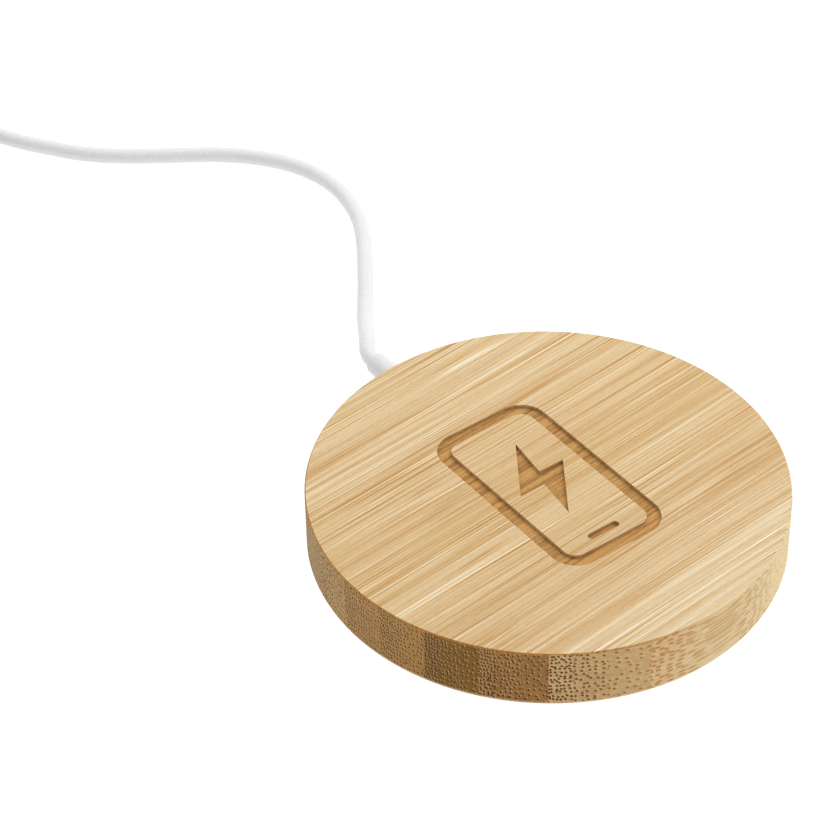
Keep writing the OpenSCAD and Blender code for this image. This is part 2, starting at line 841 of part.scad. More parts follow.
module plug_carrier() {
    color("dimgray")
        at_plug()
            difference() {
                stadium(carrier_w, carrier_h, shell_start, carrier_end);
                span([-slot_w / 2, slot_start, -slot_h / 2], [slot_w / 2, carrier_end + past, slot_h / 2]);
            }
}

module plug_contacts() {
    color("gold")
        at_plug()
            for (i = [0 : 11], side = [0, 180])
                rotate([0, side, 0])
                    span([(i - 5.5) * contact_pitch - contact_w / 2, slot_start, slot_h / 2 - contact_t],
                        [(i - 5.5) * contact_pitch + contact_w / 2, carrier_end - 0.6, slot_h / 2]);
}

module plug_latches() {
    color("silver")
        at_plug()
            for (side = [0, 180])
                rotate([0, side, 0])
                    span([slot_w / 2 - 0.2, slot_start, -0.2], [slot_w / 2, carrier_end - 0.8, 0.2]);
}

module plug_board() {
    color("darkgreen")
        at_plug()
            span([-card_w / 2, card_start, -card_t / 2], [card_w / 2, shell_start, card_t / 2]);
}

bamboo_shell();
base_plate();
bonding_ring();
anti_slip_ring();
board_screws();
coil_film();
alignment_magnets();
magnet_yoke();
charging_coil();
ferrite_shield();
shield_foam();
thermistor();
thermistor_solder();
circuit_board();
controller_chip();
bridge_transistors();
resonant_capacitors();
input_capacitors();
buck_inductor();
chip_resistors();
coil_solder();
cord_solder();
wire_red();
wire_black();
wire_green();
wire_white();
strain_relief();
cord_inner_end();
cord_lead();
cord_coil();
cord_tail();
cord_ties();
cord_plug_end();
plug_boot();
plug_grip();
plug_shell();
plug_carrier();
plug_contacts();
plug_latches();
plug_board();
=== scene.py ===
"""Bamboo wireless charging pad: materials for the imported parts, the cord, its ties and its plug."""
import json
import math
from functools import partial

import bmesh
import bpy
from mathutils import Matrix, Vector


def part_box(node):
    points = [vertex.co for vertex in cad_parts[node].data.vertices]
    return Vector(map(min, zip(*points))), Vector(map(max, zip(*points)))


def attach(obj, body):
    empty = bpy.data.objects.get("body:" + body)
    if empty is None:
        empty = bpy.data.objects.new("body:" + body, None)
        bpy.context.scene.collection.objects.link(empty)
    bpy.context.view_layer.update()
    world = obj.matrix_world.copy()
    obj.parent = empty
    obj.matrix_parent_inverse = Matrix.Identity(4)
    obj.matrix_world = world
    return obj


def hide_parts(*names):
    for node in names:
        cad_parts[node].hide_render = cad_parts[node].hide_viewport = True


bl_info = {
    "name": "Bamboo charging pad",
    "version": (1, 0, 0),
    "blender": (4, 5, 0),
    "location": "3D View > Sidebar > Charging Pad",
    "description": "Finishes a bamboo charging pad and makes its cord, ties, plug and studio",
    "category": "Add Mesh",
}

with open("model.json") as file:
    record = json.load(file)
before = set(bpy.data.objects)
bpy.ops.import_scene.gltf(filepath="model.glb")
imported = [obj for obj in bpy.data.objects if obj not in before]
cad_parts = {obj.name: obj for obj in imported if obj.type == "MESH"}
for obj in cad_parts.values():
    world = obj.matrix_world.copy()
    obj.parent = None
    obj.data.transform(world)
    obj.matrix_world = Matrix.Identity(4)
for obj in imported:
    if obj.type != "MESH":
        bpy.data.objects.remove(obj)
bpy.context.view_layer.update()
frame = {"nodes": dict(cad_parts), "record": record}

MM = 0.001
CASE_LOW, CASE_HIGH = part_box("bamboo_shell")
CASE_RADIUS = (CASE_HIGH.x - CASE_LOW.x) / 2
RELIEF_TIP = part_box("strain_relief")[1].y
EXIT_HEIGHT = 4.3 * MM
PLUG_HEIGHT = 3.1 * MM

# Route from the strain relief's tip to the coil, in millimetres from that tip. The third
# number is the share of the exit's height that is left, the fourth the share of the
# lowest turn's height that is reached.
LEAD = [
    (0, 0, 1, 0), (0.1, 1.1, 1, 0), (0.5, 2.25, 0.99, 0), (1.25, 3.4, 0.95, 0),
    (2.1, 4.65, 0.86, 0), (3.05, 6.1, 0.7, 0), (4.15, 7.75, 0.48, 0), (5.35, 9.6, 0.25, 0),
    (6.7, 11.6, 0.08, 0), (8.3, 13.8, 0, 0), (10.3, 16.5, 0, 0), (12.8, 20, 0, 0),
    (15.2, 23.5, 0, 0), (17.4, 27, 0, 0), (19.2, 30.6, 0, 0), (20.4, 34.6, 0, 0),
    (20.9, 38.8, 0, 0), (20.4, 43.1, 0, 0), (18.8, 47.4, 0, 0), (16.1, 51.4, 0, 0),
    (12.6, 55, 0, 0), (8.5, 58.1, 0, 0), (4.2, 61.1, 0, 0), (0.2, 64.2, 0, 0),
    (-3.4, 67.7, 0, 0), (-6.4, 71.8, 0, 0), (-9.1, 76, 0, 0), (-11.4, 80.2, 0, 0.3),
    (-13, 84.6, 0, 0.8), (-13.6, 89, 0, 1), (-13.6, 91, 0, 1),
]
# Route from the coil's top turn to the plug's boot, from where it leaves that turn. The
# shares are those of the top turn's height and of the plug's height.
TAIL = [
    (0, 0, 1, 0), (-4, 0, 0.95, 0), (-8.2, -0.4, 0.62, 0), (-12.4, -1.5, 0.25, 0),
    (-16.4, -3.4, 0.04, 0), (-20, -6.2, 0, 0), (-22.9, -9.8, 0, 0), (-24.8, -14, 0, 0.1),
    (-25.6, -18.4, 0, 0.45), (-25.8, -22.6, 0, 0.85), (-25.8, -25.6, 0, 1), (-25.8, -26.6, 0, 1),
]
JACKET_INSIDE = 22.7 * MM
WIND_GAP = 0.05 * MM
COIL_RATIO = 11
COIL_TURNS = 6
TIE_THICK = 0.5 * MM
TIE_WIDTH = 4 * MM
TIE_ANGLES = (215, 325)
# Lapped end of a tie: length, height and how far it lies from the middle
LAP_LENGTH = 7 * MM
LAP_HEIGHT = 0.44 * MM
LAP_SHIFT = 1.2 * MM
# Stretches of the cord inside the strain relief, and past the boot's tip in the plug
INSIDE_RELIEF = 3 * MM
INSIDE_BOOT = 6 * MM
INSIDE_PLUG = 15.95 * MM
# Radius in millimetres that the engraving stays within
CARVED_RADIUS = 24


# ---- settings ----

class BambooSettings(bpy.types.PropertyGroup):
    grain: bpy.props.FloatProperty(
        name="Grain", description="Turn of the fibres from the X axis",
        default=math.radians(5), subtype="ANGLE")
    strip: bpy.props.FloatProperty(
        name="Strip", description="Width of one glued strip, in millimetres",
        default=6.397, min=3, max=15)
    first_glue_line: bpy.props.FloatProperty(
        name="First glue line", description="Place of one glue line across the grain, in millimetres",
        default=3.71, min=-10, max=10)
    light_wood: bpy.props.StringProperty(
        name="Light wood", description="Colour between the fibre bundles, as a hex value", default="EBD4AA")
    dark_wood: bpy.props.StringProperty(
        name="Dark wood", description="Colour of the denser streaks, as a hex value", default="D2A86E")
    # The bundle colour has painted shade in it: it is the dots' colour on the wall's shaded -X side
    bundle: bpy.props.StringProperty(
        name="Bundle", description="Colour of a cut fibre bundle, as a hex value", default="553410")


class CordSettings(bpy.types.PropertyGroup):
    diameter: bpy.props.FloatProperty(
        name="Diameter", description="Diameter of the cord", default=2.2 * MM, unit="LENGTH")
    length: bpy.props.FloatProperty(
        name="Length", description="Length of the cord from end to end", default=1.0, unit="LENGTH")
    jacket: bpy.props.StringProperty(
        name="Jacket", description="Colour of the cord's jacket, as a hex value", default="DFDFDE")


class PlugSettings(bpy.types.PropertyGroup):
    grip_width: bpy.props.FloatProperty(
        name="Grip width", description="Width of the plug's grip", default=11.4 * MM, unit="LENGTH")
    grip_height: bpy.props.FloatProperty(
        name="Grip height", description="Height of the plug's grip", default=6.2 * MM, unit="LENGTH")
    grip_length: bpy.props.FloatProperty(
        name="Grip length", description="Length of the plug's grip", default=18 * MM, unit="LENGTH")
    boot_length: bpy.props.FloatProperty(
        name="Boot length", description="Length of the ribbed boot", default=8 * MM, unit="LENGTH")
    ribs: bpy.props.IntProperty(
        name="Ribs", description="Number of ribs round the boot", default=5, min=2, max=9)
    housing: bpy.props.StringProperty(
        name="Housing", description="Colour of the plug's grip, as a hex value", default="F1F1F0")


class StudioSettings(bpy.types.PropertyGroup):
    camera: bpy.props.FloatVectorProperty(
        name="Camera", description="Place of the camera", default=(-0.17857, -0.21919, 0.25883),
        unit="LENGTH")
    elevation: bpy.props.FloatProperty(
        name="Elevation", description="How far the camera looks down", default=math.radians(40.33),
        subtype="ANGLE")
    heading: bpy.props.FloatProperty(
        name="Heading", description="Turn of the camera about Z", default=math.radians(-36),
        subtype="ANGLE")
    roll: bpy.props.FloatProperty(
        name="Roll", description="Turn of the camera about its own axis", default=math.radians(-0.909),
        subtype="ANGLE")
    lens: bpy.props.FloatProperty(
        name="Lens", description="Focal length on a 36 mm sensor, in millimetres", default=131.2)
    floor: bpy.props.StringProperty(
        name="Floor", description="Colour of the studio floor, as a hex value", default="FDFDFD")


# ---- material tools ----

def linear(hex_value):
    """Linear colour, with alpha, of an sRGB hex value."""
    parts = [int(hex_value[i:i + 2], 16) / 255 for i in (0, 2, 4)]
    return tuple(c / 12.92 if c <= 0.04045 else ((c + 0.055) / 1.055) ** 2.4 for c in parts) + (1.0,)


# Nodes that are used often: type, settings, inputs in the order of the values, and output
OFTEN = {
    "FADE": ("ShaderNodeMapRange", {"interpolation_type": "SMOOTHSTEP"}, (0, 1, 2), 0),
    "BLEND": ("ShaderNodeMix", {"data_type": "RGBA"}, (0, 6, 7), 2),
    "TINT": ("ShaderNodeMix", {"data_type": "RGBA", "blend_type": "MULTIPLY"}, (0, 6, 7), 2),
    "STRETCH": ("ShaderNodeVectorMath", {"operation": "MULTIPLY"}, (0, 1), 0),
}
for operation in ("ABSOLUTE", "DIVIDE", "FLOOR", "FRACT", "MAXIMUM", "MULTIPLY", "MULTIPLY_ADD", "SUBTRACT"):
    OFTEN[operation] = ("ShaderNodeMath", {"operation": operation}, (0, 1, 2), 0)


def add(tree, kind, *values, settings=None, out=None, **inputs):
    """Adds one shader node and returns one of its outputs. The kind is a key of OFTEN or a
    node's type. Values fill the inputs in order, and inputs are found by name, with _ for a
    space. A value that is a socket is linked, and any other value is set."""
    kind, preset, order, usual = OFTEN.get(kind, (kind, {}, range(len(values)), 0))
    node = tree.nodes.new(kind)
    for name, value in {**preset, **(settings or {})}.items():
        if name == "stops":
            ramp = node.color_ramp
            while len(ramp.elements) < len(value):
                ramp.elements.new(1.0)
            for element, (place, colour) in zip(ramp.elements, value):
                element.position = place
                element.color = linear(colour)
        elif name == "ramp":
            node.color_ramp.interpolation = value
        else:
            setattr(node, name, value)
    given = [(node.inputs[place], value) for place, value in zip(order, values)]
    given += [(node.inputs[name.replace("_", " ")], value) for name, value in inputs.items()]
    for socket, value in given:
        if isinstance(value, bpy.types.NodeSocket):
            tree.links.new(value, socket)
        else:
            socket.default_value = value
    if not node.outputs:
        return None
    return node.outputs[usual if out is None else out]


def new_material(name):
    """Empty material and its tree."""
    material = bpy.data.materials.new(name)
    material.use_nodes = True
    material.node_tree.nodes.clear()
    return material, material.node_tree


def finish_surface(tree, **inputs):
    """Closes a material with its shader."""
    shader = add(tree, "ShaderNodeBsdfPrincipled", **inputs)
    add(tree, "ShaderNodeOutputMaterial", Surface=shader)


def millimetres(tree, turn=0.0, stretch=(1, 1, 1)):
    """Object coordinates in millimetres, turned about Z and stretched."""
    place = add(tree, "ShaderNodeTexCoord", out="Object")
    turned = add(tree, "ShaderNodeMapping", Vector=place, Rotation=(0, 0, turn), Scale=(1 / MM,) * 3)
    return add(tree, "STRETCH", turned, stretch)


# ---- bamboo ----

# Tint of each glued strip on the face, from the edge at the back of the pad to the front one
FACE_TONES = (
    "F0F3F4", "F0F3F4", "EEEEEC", "ECEAE6", "EAE5DE", "E9E4D9",
    "ECEAE6", "E6E0D7", "EDECEB", "F2F6FD", "F1F7FF",
)
# Colour of the same strips where they are cut across
END_TONES = (
    "AC8E5D", "AC8E5D", "AC8E5D", "AC8E5D", "B4915D", "AA814A",
    "A77D43", "835D22", "9B6F3A", "C6A370", "DAB384",
)


def bamboo(settings):
    """Bamboo, glued in upright strips, sanded and left matt. Its fibre bundles run the
    whole width, so they show as streaks on the face and as dark dots round the wall, with
    a painted highlight as a pale speck beside each. Light and shade are painted into the
    wall's end grain: paler towards +X, its bundles darker towards -X."""
    material, tree = new_material("bamboo, sanded, unlacquered")
    node = partial(add, tree)
    place = millimetres(tree, -settings.grain)
    # Fibres wander about a quarter of a millimetre over 60 mm
    drift = node("ShaderNodeTexNoise", Vector=node("STRETCH", place, (1 / 60, 0.1, 0.1)),
                 Scale=1.0, Detail=1.0, out="Color")
    centred = node("ShaderNodeVectorMath", drift, (0.5, 0.5, 0.5), settings={"operation": "SUBTRACT"})
    wander = node("ShaderNodeVectorMath", centred, (0, 1.2, 1.2), place,
                  settings={"operation": "MULTIPLY_ADD"})
    along, across, height = node("ShaderNodeSeparateXYZ", place).node.outputs
    fibre = node("ShaderNodeSeparateXYZ", wander).node.outputs

    # Strips: whole number and the share of the way across one
    count = node("DIVIDE", node("SUBTRACT", settings.first_glue_line, across), settings.strip)
    strip = node("FLOOR", count)
    share = node("FRACT", count)
    strips = len(FACE_TONES)
    which = node("MULTIPLY_ADD", strip, 1 / strips, 5.5 / strips)
    face_tone, end_tone = [
        node("ShaderNodeValToRGB", which, settings={
            "ramp": "CONSTANT", "stops": [(i / strips, t) for i, t in enumerate(tones)]})
        for tones in (FACE_TONES, END_TONES)]

    # Bundles: close together on one side of a strip and further apart towards the other,
    # narrower across the strip than they are tall
    section = node("ShaderNodeCombineXYZ", node("MULTIPLY", fibre[1], 1.6),
                   node("MULTIPLY_ADD", strip, 7.3, fibre[2]))
    shifted = node("ShaderNodeVectorMath", section, (0.17, -0.13, 0), settings={"operation": "ADD"})
    between = node("MULTIPLY", node("FADE", share, 0.27, 0.33), node("FADE", share, 0.68, 0.62))
    zones = (
        (0.56, 0.17, node("FADE", share, 0.33, 0.27)),
        (0.68, 0.165, between),
        (0.84, 0.16, node("FADE", share, 0.62, 0.68)),
    )
    dots = []
    for vector in (section, shifted):
        total = 0.0
        for spacing, reach, zone in zones:
            distance = node("ShaderNodeTexVoronoi", settings={"voronoi_dimensions": "2D"}, Vector=vector,
                            Scale=1 / spacing, Randomness=0.62, out="Distance")
            size = reach / spacing
            dot = node("FADE", distance, 1.25 * size, 0.85 * size)
            total = node("MULTIPLY_ADD", dot, zone, total)
        dots.append(total)
    cap = dots[0]
    # A copy of the bundles shifted to one side puts a pale speck beside each: a painted highlight
    painted_highlight_speck = node("MULTIPLY", dots[1], node("SUBTRACT", 1.0, cap))

    # Streaks along the grain: stretch, detail and roughness of fine streaks, broad soft
    # bands, hair lines, the patches that these come in, and specks
    fine, broad, hairs, flocks, specks = [
        node("ShaderNodeTexNoise", Vector=node("STRETCH", wander, stretch), Scale=1.0, Detail=detail,
             Roughness=roughness)
        for stretch, detail, roughness in (
            ((0.015, 2.4, 2.4), 4.0, 0.62), ((0.008, 0.5, 0.5), 2.0, 0.5), ((0.022, 4.6, 4.6), 1.0, 0.5),
            ((0.05, 0.7, 0.7), 1.0, 0.5), ((1.2, 8.0, 8.0), 1.0, 0.5))]
    streak = node("MULTIPLY_ADD", broad, 0.3, node("MULTIPLY", specks, 0.2))
    streak = node("MULTIPLY_ADD", fine, 0.5, streak)
    many = node("FADE", flocks, 0.36, 0.6)
    groove = node("MULTIPLY", node("FADE", hairs, 0.58, 0.65), many)
    ridge = node("MULTIPLY", node("FADE", hairs, 0.42, 0.35), many)
    face = node("BLEND", node("FADE", streak, 0.3, 0.68), linear(settings.dark_wood),
                linear(settings.light_wood))
    face = node("BLEND", node("MULTIPLY", groove, 0.78), face, linear("C08530"))
    face = node("BLEND", node("MULTIPLY", ridge, 0.75), face, linear("FDEFD2"))
    face = node("BLEND", node("MULTIPLY", cap, 0.14), face, linear("B07C40"))
    # Painted highlight: pale specks beside the bundle streaks on the face
    face = node("BLEND", node("MULTIPLY", painted_highlight_speck, 0.16), face, linear("F6E8C8"))
    joint = node("FADE", node("ABSOLUTE", node("SUBTRACT", share, 0.5)), 0.485, 0.497)
    face = node("BLEND", node("MULTIPLY", joint, 0.3), face, linear("B8864A"))
    face = node("TINT", 1.0, face, face_tone)

    # Where the surface is: wall, upper edge or engraved floor
    radius = node("ShaderNodeVectorMath", node("STRETCH", place, (1, 1, 0)),
                  settings={"operation": "LENGTH"}, out="Value")
    edge = CASE_RADIUS / MM
    top = CASE_HIGH.z / MM
    on_foot = node("MULTIPLY", node("FADE", height, 1.1, 1.0),
                   node("FADE", radius, edge - 0.62, edge - 0.58))
    on_wall = node("MAXIMUM", node("FADE", radius, edge - 0.16, edge - 0.1), on_foot)
    facing = node("DIVIDE", along, radius)
    end_on = node("FADE", node("ABSOLUTE", facing), 0.02, 0.3)
    cut = node("MULTIPLY", on_wall, end_on)
    within = node("FADE", radius, CARVED_RADIUS + 1, CARVED_RADIUS)
    deep = node("MULTIPLY", node("FADE", height, top - 0.3, top - 0.42), within)
    shallow = node("MULTIPLY", node("FADE", height, top - 0.01, top - 0.04), node("MULTIPLY", within, 0.35))
    carved = node("MAXIMUM", deep, shallow)
    chamfer_bounce_light = node("MULTIPLY", node("FADE", height, 0.98, 0.88), on_wall)

    # End grain drinks in light, so it is darker than the face. Light and shade are painted
    # in on top: the end grain is paler towards +X, where the light falls, and its bundles darker towards -X,
    # in shade
    ground = node("BLEND", node("FADE", streak, 0.36, 0.62), linear("E2DAD0"), linear("FFFFFF"))
    ground = node("TINT", 1.0, ground, end_tone)
    # Painted light: the end grain turns pale towards +X, where the light falls
    ground = node("BLEND", node("FADE", facing, -0.62, 0.4), ground, linear("DCC598"))
    # Painted shade and light: the bundle dots are dark brown towards -X, in shade, and pale tan towards +X,
    # in the light
    dark = node("BLEND", node("FADE", facing, -0.72, -0.22), linear(settings.bundle), linear("BC8848"))
    dark = node("BLEND", node("FADE", facing, 0.0, 0.4), dark, linear("CBAE78"))
    end_grain = node("BLEND", cap, ground, dark)
    # Painted highlight: pale specks beside the bundle dots on the wall
    end_grain = node("BLEND", node("MULTIPLY", painted_highlight_speck, 0.36), end_grain, linear("DCC294"))
    along_wall = node("BLEND", node("MULTIPLY", on_wall, 0.45), face, linear("DABA84"))
    wall_cap = node("MULTIPLY", cap, on_wall)
    along_wall = node("BLEND", node("MULTIPLY", wall_cap, 0.45), along_wall, linear("BA8C44"))
    colour = node("BLEND", cut, along_wall, end_grain)
    # Painted light: the lower chamfered edge of the wall is painted paler, as if lit by light bounced up
    # from the floor
    colour = node("BLEND", node("MULTIPLY", chamfer_bounce_light, 0.3), colour, linear("E2C8A0"))

    # The cutter scorches the floor of the engraving, most of all between the hard fibres
    scorch = node("BLEND", node("FADE", streak, 0.4, 0.58), linear("8C5C26"), linear("C0904E"))
    colour = node("BLEND", node("MULTIPLY", carved, 0.9), colour, scorch)
    # An orange line painted round the upper edge as shade: it fades out towards +X, where the light falls
    rim_painted_shade = node("MULTIPLY", node("FADE", radius, edge - 0.17, edge - 0.12),
               node("FADE", height, top - 0.32, top - 0.12))
    rim_painted_shade = node("MULTIPLY", rim_painted_shade, node("FADE", facing, 0.1, -0.4))
    colour = node("BLEND", node("MULTIPLY", rim_painted_shade, 0.6), colour, linear("BC7C30"))

    sunk = node("MAXIMUM", wall_cap, node("MULTIPLY", groove, 0.3))
    relief = node("MULTIPLY_ADD", sunk, -1.0, node("MULTIPLY", fine, 0.4))
    bump = node("ShaderNodeBump", Height=relief, Distance=0.03 * MM, Strength=0.7)
    finish_surface(tree, Base_Color=colour, Normal=bump, Roughness=0.68, IOR=1.45,
                   Specular_IOR_Level=0.18)
    return material


# ---- plainer finishes ----

def mottled(name, first, second, grain_mm, relief_mm, turn=0.0, stretch=(1, 1, 1), **shader):
    """Finish whose colour and height vary together, with a grain of that size."""
    material, tree = new_material(name)
    place = millimetres(tree, turn, tuple(s / grain_mm for s in stretch))
    noise = add(tree, "ShaderNodeTexNoise", Vector=place, Scale=1.0, Detail=3.0, Roughness=0.55)
    colour = add(tree, "BLEND", add(tree, "FADE", noise, 0.35, 0.65), linear(first), linear(second))
    bump = add(tree, "ShaderNodeBump", Height=noise, Distance=relief_mm * MM, Strength=1.0)
    finish_surface(tree, Base_Color=colour, Normal=bump, **shader)
    return material


def printed_board(name):
    """Glass-fibre board under green solder resist, with raised copper tracks that shine through."""
    material, tree = new_material(name)
    cells = {"voronoi_dimensions": "2D", "distance": "CHEBYCHEV", "feature": "DISTANCE_TO_EDGE"}
    tracks = add(tree, "ShaderNodeTexVoronoi", settings=cells, Vector=millimetres(tree), Scale=0.55,
                 Randomness=0.7, out="Distance")
    track = add(tree, "FADE", tracks, 0.1, 0.06)
    colour = add(tree, "BLEND", track, linear("0E4A2A"), linear("2A7A48"))
    bump = add(tree, "ShaderNodeBump", Height=track, Distance=0.03 * MM)
    finish_surface(tree, Base_Color=colour, Normal=bump, Roughness=0.28, IOR=1.5)
    return material


def litz(name):
    """Bundle of fine enamelled copper strands with a slow twist."""
    material, tree = new_material(name)
    bands = {"wave_type": "BANDS", "bands_direction": "DIAGONAL"}
    twist = add(tree, "ShaderNodeTexWave", settings=bands, Vector=millimetres(tree), Scale=1.6,
                Distortion=1.2, Detail=1.0, out=1)
    colour = add(tree, "BLEND", twist, linear("8A4420"), linear("D8905A"))
    bump = add(tree, "ShaderNodeBump", Height=twist, Distance=0.05 * MM)
    finish_surface(tree, Base_Color=colour, Normal=bump, Roughness=0.32, Metallic=1.0)
    return material


def jacket(settings):
    """Extruded white elastomer: soft and matt, with a faint orange-peel surface."""
    return mottled("white elastomer, extruded", settings.jacket, "DADAD9", 0.5, 0.002,
                   Roughness=0.5, IOR=1.47, Specular_IOR_Level=0.4)


def strap_weave(name):
    """Woven grey nylon hook-and-loop strap: fuzzy loops over a ribbed cloth, ribs 0.45 mm apart."""
    material, tree = new_material(name)
    place = millimetres(tree)
    ribs = add(tree, "ShaderNodeTexBrick", settings={"offset": 0.5}, Vector=place,
               Color1=linear("B9BBBD"), Color2=linear("9FA1A4"), Mortar=linear("6E7073"),
               Scale=1.0, Mortar_Size=0.06, Brick_Width=0.7, Row_Height=0.45)
    bump = add(tree, "ShaderNodeBump", settings={"invert": True}, Height=ribs.node.outputs[1],
               Distance=0.06 * MM, Strength=0.8)
    finish_surface(tree, Base_Color=ribs, Normal=bump, Roughness=0.85, Sheen_Weight=0.3,
                   Sheen_Roughness=0.5)
    return material


def finishes(scene):
    """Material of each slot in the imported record."""
    made = {
        "bamboo": bamboo(scene.pad_bamboo),
        "cord_jacket": jacket(scene.pad_cord),
        "fr4_board": printed_board("glass-fibre board, green resist"),
        "litz_copper": litz("litz copper, twisted"),
        "tie_strap": strap_weave("nylon strap, woven"),
        # Injection-moulded ABS: spark-eroded matt surface, a hair warmer than the cord
        "white_abs": mottled("ABS, moulded, spark-eroded", "EFEEEB", "E4E3E0", 0.25, 0.012,
                             Roughness=0.55, IOR=1.53),
        # Soft moulded elastomer of the strain relief and boot
        "white_tpe": mottled("white elastomer, moulded", "DDDDDC", "D7D7D6", 0.35, 0.002,
                             Roughness=0.52, IOR=1.47, Specular_IOR_Level=0.4),
        # Silicone: translucent grey, slightly tacky sheen and fine dust
        "silicone": mottled("silicone, moulded", "C9CBCC", "B4B7B9", 0.4, 0.01,
                            Roughness=0.42, IOR=1.41, Subsurface_Weight=0.15, Subsurface_Radius=(1, 1, 1),
                            Subsurface_Scale=0.5 * MM),
        # Polished housing of the plug: fine semi-gloss texture
        "plug_housing": mottled("plug housing, moulded", scene.pad_plug.housing, "E9E9E8", 0.3, 0.005,
                                Roughness=0.36, IOR=1.53),
        # Drawn stainless steel: fine lines along the plug
        "plug_steel": mottled("stainless steel, drawn", "C8C9CB", "B2B4B7", 0.12, 0.004,
                              stretch=(1, 0.04, 1), Roughness=0.24, Metallic=1.0),
        # Glass-filled liquid-crystal polymer: dull black with pale flecks
        "black_lcp": mottled("liquid-crystal polymer, moulded", "17181A", "242629", 0.2, 0.006,
                             Roughness=0.5, IOR=1.6),
        # Hard gold plate over nickel
        "gold_contact": mottled("gold plate, hard", "E6B85C", "D7A548", 0.15, 0.002,
                                Roughness=0.22, Metallic=1.0),
        # Double-sided tape: milky film with trapped air
        "adhesive": mottled("acrylic adhesive film", "D9D5C4", "C7C2AE", 1.2, 0.01,
                            Roughness=0.6, IOR=1.47),
        # Zinc-plated screw steel with a faint blue passivation
        "zinc_steel": mottled("steel, zinc-plated", "C3C8CE", "AEB5BC", 0.4, 0.006,
                              Roughness=0.34, Metallic=1.0),
        # Neodymium magnet under bright nickel
        "nickel_magnet": mottled("magnet, nickel-plated", "CFCBC2", "BDB8AE", 0.8, 0.004,
                                 Roughness=0.2, Metallic=1.0),
        # Cold-rolled yoke sheet, lines along the roll
        "yoke_steel": mottled("steel sheet, cold-rolled", "9C9FA3", "86898D", 0.2, 0.006,
                              stretch=(0.1, 1, 1), Roughness=0.38, Metallic=1.0),
        # Sintered ferrite: sooty, almost black, with a fine grit
        "ferrite": mottled("ferrite, sintered", "2B2C2E", "3A3B3E", 0.3, 0.02, Roughness=0.7, IOR=1.8),
        # Closed-cell foam: pale yellow, open pores 0.3 mm
        "foam": mottled("polyurethane foam", "E5D9AE", "CDBF90", 0.3, 0.06, Roughness=0.9, IOR=1.45),
        # Dipped epoxy bead: glossy dark red
        "epoxy_bead": mottled("epoxy bead, dipped", "5E1A16", "72231C", 0.6, 0.008,
                              Roughness=0.2, IOR=1.55),
        # Tin solder, cooled slowly: satin with frosty patches
        "solder": mottled("tin solder", "C9CACC", "A9ABAE", 0.4, 0.012, Roughness=0.3, Metallic=1.0),
        # Chip package: black epoxy with a sandy moulded surface
        "moulded_epoxy": mottled("epoxy, moulded", "1B1C1D", "27282A", 0.15, 0.008,
                                 Roughness=0.6, IOR=1.55),
        # Multilayer chip capacitor: fired tan ceramic
        "ceramic_chip": mottled("ceramic, fired", "B89A74", "A68860", 0.3, 0.006,
                                Roughness=0.45, IOR=1.6),
    }
    # Thin insulation of the four conductors, extruded and slightly glossy
    for name, first, second in (("core_red", "B3231E", "A01C18"), ("core_black", "1A1A1B", "252526"),
                                ("core_green", "1F7A3C", "186A32"), ("core_white", "EDEDEB", "DFDFDC")):
        made[name] = mottled("conductor insulation, " + name[5:], first, second, 0.3, 0.004,
                             Roughness=0.38, IOR=1.5)
    return made


# Materials that are already made, by slot
FINISHES = {}


def finish_of(slot):
    """Material of a slot, made the first time that it is asked for."""
    if not FINISHES:
        FINISHES.update(finishes(bpy.context.scene))
    if slot not in FINISHES:
        raise RuntimeError(f"no finish is made for slot {slot}")
    return FINISHES[slot]


def dress(node, slot):
    """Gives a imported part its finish."""
    data = frame["nodes"][node].data
    data.materials.clear()
    data.materials.append(finish_of(slot))


def dress_slots(slots):
    """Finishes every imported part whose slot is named."""
    for part in frame["record"]["subparts"]:
        if part["material_slot"] in slots:
            dress(part["node"], part["material_slot"])


def as_piece(mesh_builder, name, slot, *replaced):
    """Turns a bmesh into a finished piece that rides with the pad."""
    bmesh.ops.remove_doubles(mesh_builder, verts=mesh_builder.verts, dist=1e-7)
    bmesh.ops.recalc_face_normals(mesh_builder, faces=mesh_builder.faces)
    data = bpy.data.meshes.new(name)
    mesh_builder.to_mesh(data)
    mesh_builder.free()
    data.materials.append(finish_of(slot))
    piece = bpy.data.objects.new(name, data)
    bpy.context.scene.collection.objects.link(piece)
    for polygon in data.polygons:
        polygon.use_smooth = True
    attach(piece, "root")
    if replaced:
        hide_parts(*replaced)
    return piece


# ---- cord ----

def along_route(route, start, from_height, to_height, radius):
    """Points of a route in metres."""
    return [Vector((start.x + x * MM, start.y + y * MM,
                    radius + a * (from_height - radius) + b * (to_height - radius)))
            for x, y, a, b in route]


def coil_sizes(diameter):
    """Outer and inner radius of the turns, and the heights of the two layers."""
    pitch = diameter + WIND_GAP
    middle = COIL_RATIO * diameter / 2
    half = (COIL_TURNS - 0.5) * pitch / 2
    low = TIE_THICK + diameter / 2
    return middle + half, middle - half, low, low + pitch


def coil_centre(diameter):
    """Centre of the coil on the table."""
    outer = coil_sizes(diameter)[0]
    end = LEAD[-1]
    return Vector((end[0] * MM - outer, RELIEF_TIP + end[1] * MM, 0))


def plug_place(diameter):
    """Where the cord enters the plug's boot."""
    outer = coil_sizes(diameter)[0]
    centre = coil_centre(diameter)
    return Vector((centre.x + TAIL[-1][0] * MM, centre.y + outer + TAIL[-1][1] * MM, PLUG_HEIGHT))


